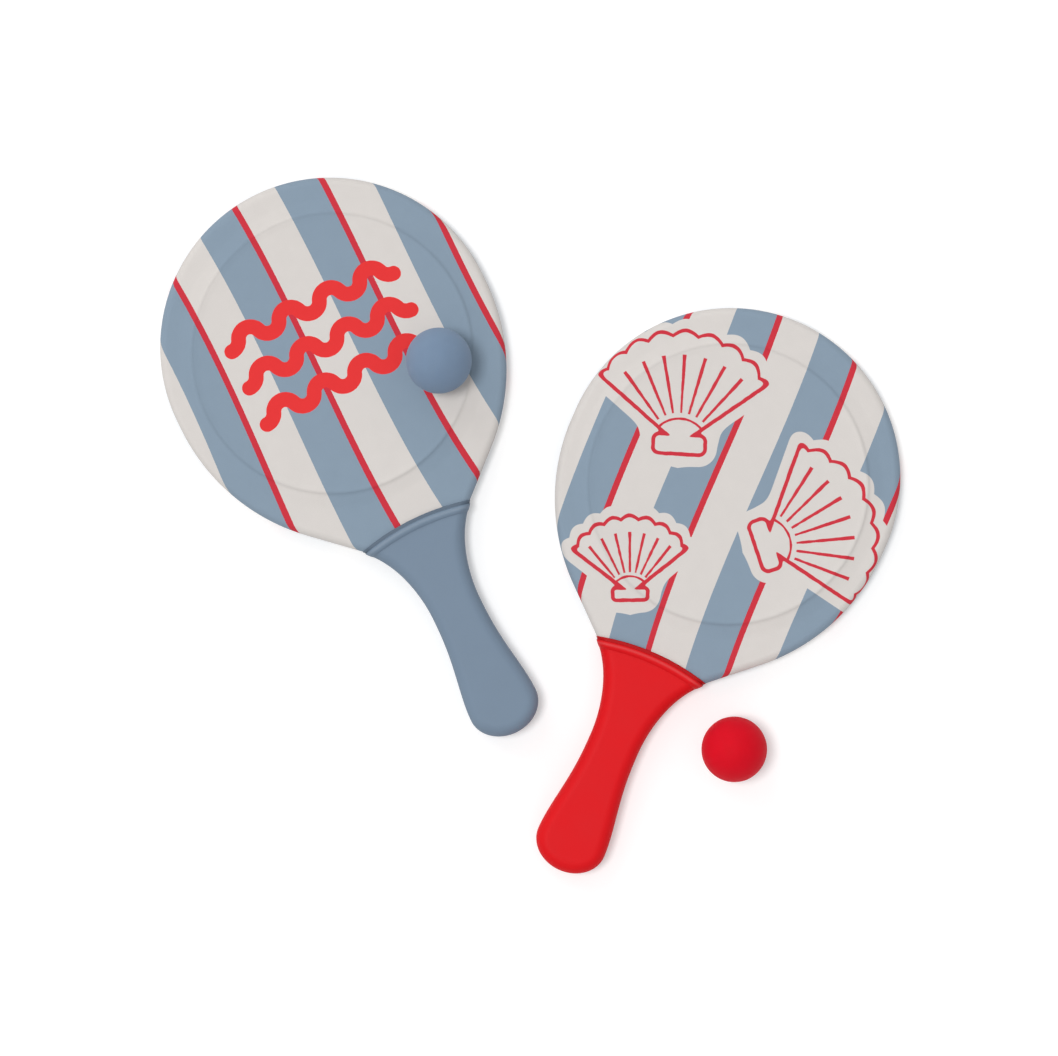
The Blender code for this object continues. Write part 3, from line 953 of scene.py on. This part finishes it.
# A shell's rim: how far it lies from the hinge, how its scallops and its crown rise over that, all
# as shares of the shell's height, and how fast the crown falls off to the sides
RIM_REACH = 0.76
SCALLOP_RISE = 0.045
CROWN_RISE = 0.22
CROWN_FALL = 0.9
# The ears beside the hinge, as shares of the height: half their straight width, the height of
# their middle, half their straight height and their rounding
EAR_HALF_WIDTH = 0.17
EAR_MIDDLE = 0.03
EAR_HALF_HEIGHT = 0.030
EAR_ROUND = 0.070
# The ribs: where they start and end as shares of the height, the share of the fan that they fill,
# and half their width at the hinge and what it gains with the distance
RIB_START = 0.30
RIB_END = 0.80
RIB_FAN = 0.86
RIB_HALF_WIDTH = 0.0005
RIB_GAIN = 0.012
# The line over the hinge: its place as a share of the height, half its width as a share of the
# outline's, and how far it keeps from the fan's sides
BASE_REACH = 0.25
BASE_HALF_STROKE = 0.30
BASE_INSET = 0.001


def shell(bench, settings, across, along, layout):
    """Signed distances to a shell's soft border and to its ink: outline, ribs and hinge line."""
    hinge_x, hinge_y, size, turn = layout
    wobble = bench.noise(WOBBLE_SPACING) * INK_WOBBLE
    from_x = across - hinge_x
    from_y = along - hinge_y
    side = from_x * math.cos(turn) + from_y * math.sin(turn)
    up = from_y * math.cos(turn) - from_x * math.sin(turn)
    reach = bench.hypot(side, up)
    angle = bench.math("ARCTAN2", side, up)
    off_rib = angle - bench.math("ROUND", angle / RIB_ANGLE) * RIB_ANGLE
    scallop = bench.math("COSINE", off_rib * (math.pi / RIB_ANGLE)) * (size * SCALLOP_RISE)
    crown = bench.math("COSINE", angle * CROWN_FALL) * (size * CROWN_RISE)
    rim = reach - scallop - crown - size * RIM_REACH
    flank = abs(side) * math.cos(FAN_HALF_ANGLE) - up * math.sin(FAN_HALF_ANGLE)
    fan = bench.math("SMOOTH_MAX", rim, flank, CORNER_SOFTNESS)
    ear_side = (abs(side) - size * EAR_HALF_WIDTH).at_least(0.0)
    ear_up = (abs(up - size * EAR_MIDDLE) - size * EAR_HALF_HEIGHT).at_least(0.0)
    ear = bench.hypot(ear_side, ear_up) - size * EAR_ROUND
    border = bench.math("SMOOTH_MIN", fan, ear, BORDER_SOFTNESS)
    outline = bench.math("SMOOTH_MIN", fan, ear, CORNER_SOFTNESS / 2) + wobble
    stroke = abs(outline + settings.shell_stroke / 2) - settings.shell_stroke / 2
    rib = reach * abs(off_rib) - (reach * RIB_GAIN + RIB_HALF_WIDTH) + wobble
    rib = rib.at_least(reach - size * RIB_END).at_least(size * RIB_START - reach)
    rib = rib.at_least(abs(angle) - FAN_HALF_ANGLE * RIB_FAN)
    base = abs(reach - size * BASE_REACH) - settings.shell_stroke * BASE_HALF_STROKE
    base = base.at_least(flank + BASE_INSET) + wobble
    return border, stroke.at_most(rib).at_most(base).at_least(outline)


# Painted shade along the raised disc's pressed edge: the width over which it fades and how much
# darker it makes the cloth
PRESS_WIDTH = 0.0016
PRESS_PAINTED_SHADE = 0.10
# The knit: how far a course bows and how close courses lie, both as shares of the wales' spacing,
# what wales and courses add to a loop, and a loop's share in the colour and the height
COURSE_BOW = 0.3
COURSE_SPACING = 0.8
WALE_SHARE = 0.5
COURSE_SHARE = 0.35
LOOP_TONE = 0.018
LOOP_LIFT = 0.5
CLOTH_LAYERS = (Layer(0.0006, 4.0, tone=0.06, lift=0.8), Layer(0.012, tone=0.05),
                Layer(0.007, lift=1.5))


def cover_cloth(settings, head, colour, side):
    """Printed jersey on neoprene: stripe, motif, wales, painted shade at the disc's edge and a soft
    sheen.
    """
    bench = Bench(f"{colour}_{side}_printed_jersey", roughness=0.82, specular=0.22)
    bench.fill(bench.shader, {"Sheen Weight": 0.06, "Sheen Roughness": 0.45})
    across, along = bench.follow_cut()
    tint = striped(bench, settings, colour, side, across, along)
    if (colour, side) == ("blue", "front"):
        stray = bench.noise(WAVE_STRAY_SPACING) * STRAY
        ink = inside(bench, waves(bench, settings, across, along) + stray)
        tint = bench.mix(ink, tint, settings.motif_red)
    if (colour, side) == ("red", "front"):
        for layout in SHELLS:
            border, ink = shell(bench, settings, across, along, layout)
            tint = bench.mix(inside(bench, border - settings.shell_halo), tint, settings.ecru)
            tint = bench.mix(inside(bench, ink), tint, settings.line_red)
    wale = bench.math("SINE", across * (2 * math.pi / head.knit))
    bowed = along + abs(wale) * (head.knit * COURSE_BOW)
    course = bench.math("SINE", bowed * (2 * math.pi / (head.knit * COURSE_SPACING)))
    loops = wale * WALE_SHARE + course * COURSE_SHARE
    # Painted shade: the cloth is made darker along the disc's pressed edge, where shade falls on the
    # step
    from_edge = abs(bench.hypot(across, along + DISC_OFFSET) - head.disc_radius)
    pressed = bench.falloff(from_edge, PRESS_WIDTH, PRESS_PAINTED_SHADE)
    tone, lift = bench.layered(CLOTH_LAYERS)
    tint = bench.shaded(tint, loops * LOOP_TONE + tone - pressed)
    return bench.finish(tint, loops * LOOP_LIFT + lift, depth=0.00006)


FOAM_PORE = 0.0007
PORE_TONE = 0.5
PORE_DARKENING = 0.2
FOAM_LAYERS = (Layer(0.006, tone=0.15),)


def foam(name, dark):
    """Closed-cell foam: fine pores and a slightly uneven grey."""
    bench = Bench(name, roughness=0.9, specular=0.2)
    pores = bench.cells(FOAM_PORE)
    tone, _ = bench.layered(FOAM_LAYERS)
    tint = bench.shaded(dark, pores * PORE_TONE + tone - PORE_DARKENING)
    return bench.finish(tint, pores, depth=0.00012)


DARK_FIBRE = (0.17, 0.095, 0.045)
PALE_FIBRE = (0.36, 0.235, 0.125)
FIBRE_CONTRAST = 1.6
FIBRE_LAYERS = (Layer(0.0022, 6.0, tone=1.0, lift=1.0), Layer(0.02, tone=0.4))
# The press's ridges: radians to a metre, and their share in the height
RIDGES = 900.0
RIDGE_LIFT = 0.05


def fibre_board():
    """Pressed wood-fibre board: short matted fibres in two browns."""
    bench = Bench("pressed_fibre_board", roughness=0.75, specular=0.3)
    _, along, _ = bench.centre_on(FRAMES["blue"])
    tone, lift = bench.layered(FIBRE_LAYERS)
    matted = bench.math("MULTIPLY_ADD", tone, FIBRE_CONTRAST, 0.5, clamp=True)
    tint = bench.mix(matted, DARK_FIBRE, PALE_FIBRE)
    ridges = bench.math("SINE", along * RIDGES)
    return bench.finish(tint, ridges * RIDGE_LIFT + lift, depth=0.00015)


# Painted shade in the handle's colour: darker in the groove between the mouth and the bead and in the
# crease behind the bead, where shade falls. For each, the width and how much darker.
GROOVE_EDGE = 0.0010
GROOVE_PAINTED_SHADE = 0.36
CREASE_WIDTH = 0.0020
CREASE_PAINTED_SHADE = 0.05
# The painted highlight on the bead: its place as a share of the bead's width, its half width and
# strength
HIGHLIGHT_PLACE = 0.35
HIGHLIGHT_WIDTH = 0.0013
CREST_PAINTED_HIGHLIGHT = 0.05
GRIP_LAYERS = (Layer(0.00045, 3.0, tone=0.05, lift=1.0, rough=0.10),
               Layer(0.018, 3.0, tone=0.07, rough=0.12), Layer(0.010, lift=0.6))


def soft_touch(name, tint, grip, place):
    """Soft-touch moulding: grain, faint clouds, painted shade beside the bead, painted highlight on
    its crest.
    """
    bench = Bench(name, roughness=0.58, specular=0.15)
    across, along, _ = bench.centre_on(place)
    depth = grip.collar_arc - bench.hypot(across, along - (COLLAR_Y - grip.collar_arc))
    # Painted shade: the groove before the bead and the crease behind it are made darker
    groove = bench.falloff(depth - (grip.bead_set_back - GROOVE_EDGE / 2), GROOVE_EDGE)
    crease = bench.falloff(abs(depth - (grip.bead_set_back + grip.bead_width)), CREASE_WIDTH)
    painted_shade = groove * GROOVE_PAINTED_SHADE + crease * CREASE_PAINTED_SHADE
    # Painted highlight: the colour is mixed towards white in a band along the bead's crest
    crest = grip.bead_set_back + grip.bead_width * HIGHLIGHT_PLACE
    painted_highlight = bench.falloff(abs(depth - crest), HIGHLIGHT_WIDTH, CREST_PAINTED_HIGHLIGHT)
    tone, lift = bench.layered(GRIP_LAYERS)
    colour = bench.mix(painted_highlight, bench.shaded(tint, tone - painted_shade), WHITE)
    return bench.finish(colour, lift, depth=0.00004)


RUBBER_PORE = 0.0009
RUBBER_PORE_LIFT = 0.6
RUBBER_LAYERS = (Layer(0.007, 4.0, tone=0.08, lift=1.0, rough=0.15), Layer(0.0006, tone=0.06))


def sponge_rubber(name, tint):
    """Matte sponge rubber: skin pores, a dusty bloom and a faint mottle."""
    bench = Bench(name, roughness=0.70, specular=0.12)
    bench.fill(bench.shader, {
        "Sheen Weight": 0.03, "Sheen Roughness": 0.5, "Subsurface Weight": 0.55,
        "Subsurface Radius": (1.0, 1.0, 1.0), "Subsurface Scale": 0.010,
    })
    pores = bench.cells(RUBBER_PORE)
    tone, lift = bench.layered(RUBBER_LAYERS)
    return bench.finish(bench.shaded(tint, tone), pores * RUBBER_PORE_LIFT + lift, depth=0.00006)


DARK_FOAM = (0.028, 0.029, 0.032)
PALE_FOAM = (0.30, 0.30, 0.31)


class PADDLES_OT_covers(bpy.types.Operator):
    """Make the four neoprene covers with their rim, pressed step and print"""
    bl_idname = "beach_paddles.covers"
    bl_label = "Make covers"

    def execute(self, context):
        head = context.scene.paddle_head
        outline = cover_outline(head, context.scene.paddle_grip.collar_arc)
        rings = cover_rings(head, outline)
        flats = cover_cut(head, outline, rings)
        area, perimeter = flat_cut([place for place, _ in outline])
        lining = foam("neoprene_foam", DARK_FOAM)
        for colour, side in FACES:
            piece = surface_through(f"{colour}_{side}_cover", rings)
            face_outwards(piece)
            remember_cut(piece, rings, flats)
            cloth = cover_cloth(context.scene.paddle_print, head, colour, side)
            piece.data.materials.append(cloth)
            piece.data.materials.append(lining)
            give_wall(piece, head.cover, inner_slot=1)
            finish_shape(piece, place_on_side(colour, side), angle=40)
            hand_over(piece, f"{colour}_{side}_skin", colour + "_paddle")
        return {"FINISHED"}


def flat_cut(places):
    """The area and the perimeter of an outline."""
    area = perimeter = 0.0
    for here, there in zip(places, places[1:] + places[:1]):
        area += (here.x * there.y - there.x * here.y) / 2
        perimeter += (there - here).length
    return abs(area), perimeter


class PADDLES_OT_cushions(bpy.types.Operator):
    """Make the four foam pads that raise the middle of each face"""
    bl_idname = "beach_paddles.cushions"
    bl_label = "Make pads"

    def execute(self, context):
        rings = pad_rings(context.scene.paddle_head)
        finish = foam("pad_foam_pale", PALE_FOAM)
        for colour, side in FACES:
            piece = surface_through(f"{colour}_{side}_cushion", rings)
            close_base(piece)
            face_outwards(piece)
            piece.data.materials.append(finish)
            finish_shape(piece, place_on_side(colour, side), angle=40)
            hand_over(piece, f"{colour}_{side}_pad", colour + "_paddle")
        return {"FINISHED"}


class PADDLES_OT_boards(bpy.types.Operator):
    """Give the core boards their pressed fibre"""
    bl_idname = "beach_paddles.boards"
    bl_label = "Finish boards"

    def execute(self, context):
        finish = fibre_board()
        for colour in COLOURS:
            for slot in frame["nodes"][colour + "_core_board"].material_slots:
                slot.material = finish
        return {"FINISHED"}


class PADDLES_OT_handles(bpy.types.Operator):
    """Make the four moulded halves of the handles"""
    bl_idname = "beach_paddles.handles"
    bl_label = "Make handles"

    def execute(self, context):
        grip = context.scene.paddle_grip
        rows = grip_rows(context.scene.paddle_head, grip)
        finishes = {
            colour: soft_touch(colour + "_soft_touch", getattr(grip, colour), grip, FRAMES[colour])
            for colour in COLOURS
        }
        for colour, side in FACES:
            piece = surface_over(f"{colour}_{side}_handle", rows)
            face_outwards(piece)
            piece.data.materials.append(finishes[colour])
            give_wall(piece, grip.wall, inner_slot=0)
            finish_shape(piece, place_on_side(colour, side), angle=35)
            hand_over(piece, f"{colour}_{side}_grip", colour + "_paddle")
        return {"FINISHED"}


BALL_TILT = {
    "blue": (math.radians(14), math.radians(-9)),
    "red": (math.radians(-11), math.radians(16)),
}


class PADDLES_OT_balls(bpy.types.Operator):
    """Make the two rubber balls with their mould line"""
    bl_idname = "beach_paddles.balls"
    bl_label = "Make balls"

    def execute(self, context):
        ball = context.scene.paddle_ball
        for colour in COLOURS:
            low, high = (Vector(corner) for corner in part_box(colour + "_ball"))
            deselect()
            bpy.ops.mesh.primitive_uv_sphere_add(
                segments=ball.segments, ring_count=ball.segments // 2,
                radius=(high.z - low.z) / 2)
            piece = bpy.context.object
            piece.name = colour + "_rubber_ball"
            raise_mould_line(piece, ball)
            piece.data.materials.append(
                sponge_rubber(colour + "_sponge_rubber", getattr(ball, colour)))
            tilt_x, tilt_y = BALL_TILT[colour]
            turn = Matrix.Rotation(tilt_x, 4, "X") @ Matrix.Rotation(tilt_y, 4, "Y")
            finish_shape(piece, Matrix.Translation((low + high) / 2) @ turn, angle=60)
            hand_over(piece, colour + "_ball", colour + "_ball")
        return {"FINISHED"}


def raise_mould_line(piece, ball):
    """Split the ball's middle edges into a narrow band and raise its centre line."""
    with edit_mode("DESELECT"):
        bpy.ops.mesh.select_mode(type="EDGE")
        bm = bmesh.from_edit_mesh(piece.data)
        for edge in bm.edges:
            edge.select = all(abs(vertex.co.z) < NEAR for vertex in edge.verts)
        bmesh.update_edit_mesh(piece.data)
        bpy.ops.mesh.bevel(offset=ball.flash_width / 2, segments=2, profile=0.5)
        bpy.ops.mesh.select_mode(type="VERT")
        bpy.ops.mesh.select_all(action="DESELECT")
        bm = bmesh.from_edit_mesh(piece.data)
        for vertex in bm.verts:
            vertex.select = abs(vertex.co.z) < NEAR
        bm.select_flush_mode()
        bmesh.update_edit_mesh(piece.data)
        bpy.ops.transform.shrink_fatten(value=ball.flash)


FLOOR_SIZE = 8.0
PAPER = (0.80, 0.80, 0.80)
# Each lamp: its name, where it stands, and how wide it looks from the paddles
LAMPS = (
    ("key", (-0.49, 0.06, 1.90), math.radians(18)),
    ("rake", (-0.95, 1.45, 0.95), math.radians(45)),
)


class PADDLES_OT_studio(bpy.types.Operator):
    """Lay the floor and set the lamps and the camera"""
    bl_idname = "beach_paddles.studio"
    bl_label = "Set studio"

    def execute(self, context):
        stage = context.scene.paddle_stage
        context.scene.view_settings.view_transform = "Standard"
        deselect()
        bpy.ops.mesh.primitive_plane_add(size=FLOOR_SIZE)
        floor = bpy.context.object
        floor.name = "studio_floor"
        floor.data.materials.append(studio_paper(stage.floor_glow))
        for name, place, width in LAMPS:
            bpy.ops.object.light_add(type="SUN", location=place)
            lamp = bpy.context.object
            lamp.name = name + "_lamp"
            lamp.rotation_euler = (-Vector(place)).to_track_quat("-Z", "Y").to_euler()
            lamp.data.energy = getattr(stage, name)
            lamp.data.angle = width
        light_sky(context.scene, stage.sky)
        bpy.ops.object.camera_add(location=stage.camera_place, rotation=(0.0, 0.0, 0.0))
        camera = bpy.context.object
        camera.name = "studio_camera"
        distance = stage.camera_place[2] - stage.face_height
        camera.data.lens = camera.data.sensor_width * distance / stage.view_width
        context.scene.camera = camera
        return {"FINISHED"}


def studio_paper(glow):
    """Matte white paper that reads as white in the picture and still takes a shadow."""
    bench = Bench("studio_paper", roughness=0.9, specular=0.0)
    bench.fill(bench.shader, {"Base Color": PAPER, "Emission Color": WHITE,
                              "Emission Strength": bench.seen_directly() * glow})
    return bench.material


def light_sky(scene, strength):
    """An even light from all around, white where the camera sees it."""
    world = bpy.data.worlds.new("studio_sky")
    world.use_nodes = True
    scene.world = world
    sky = Nodes(world.node_tree)
    span = sky.node("MapRange", {"Value": sky.seen_directly(), "To Min": strength, "To Max": 1.0})
    sky.fill(sky.tree.nodes["Background"], {"Color": WHITE, "Strength": span.outputs["Result"]})


SETTINGS = {
    "paddle_head": HeadSettings,
    "paddle_print": PrintSettings,
    "paddle_grip": GripSettings,
    "paddle_ball": BallSettings,
    "paddle_stage": StageSettings,
}
OPERATORS = (PADDLES_OT_cushions, PADDLES_OT_covers, PADDLES_OT_boards, PADDLES_OT_handles,
             PADDLES_OT_balls, PADDLES_OT_studio)


class PADDLES_PT_panel(bpy.types.Panel):
    """The steps that dress the paddle set, and their settings"""
    bl_idname = "PADDLES_PT_panel"
    bl_label = "Beach paddles"
    bl_space_type = "VIEW_3D"
    bl_region_type = "UI"
    bl_category = "Beach paddles"

    def draw(self, context):
        for operator in OPERATORS:
            self.layout.operator(operator.bl_idname)
        for name, group in SETTINGS.items():
            box = self.layout.box()
            for prop in group.__annotations__:
                box.prop(getattr(context.scene, name), prop)


CLASSES = (*SETTINGS.values(), *OPERATORS, PADDLES_PT_panel)


def register():
    """Register the classes and hang the settings on the scene."""
    for made in CLASSES:
        bpy.utils.register_class(made)
    for name, group in SETTINGS.items():
        setattr(bpy.types.Scene, name, PointerProperty(type=group))


def unregister():
    """Take the settings and the classes away again."""
    for name in SETTINGS:
        delattr(bpy.types.Scene, name)
    for made in reversed(CLASSES):
        bpy.utils.unregister_class(made)


def main():
    register()
    bpy.ops.beach_paddles.cushions()
    bpy.ops.beach_paddles.covers()
    bpy.ops.beach_paddles.boards()
    bpy.ops.beach_paddles.handles()
    bpy.ops.beach_paddles.balls()
    bpy.ops.beach_paddles.studio()


if __name__ == "__main__":
    main()
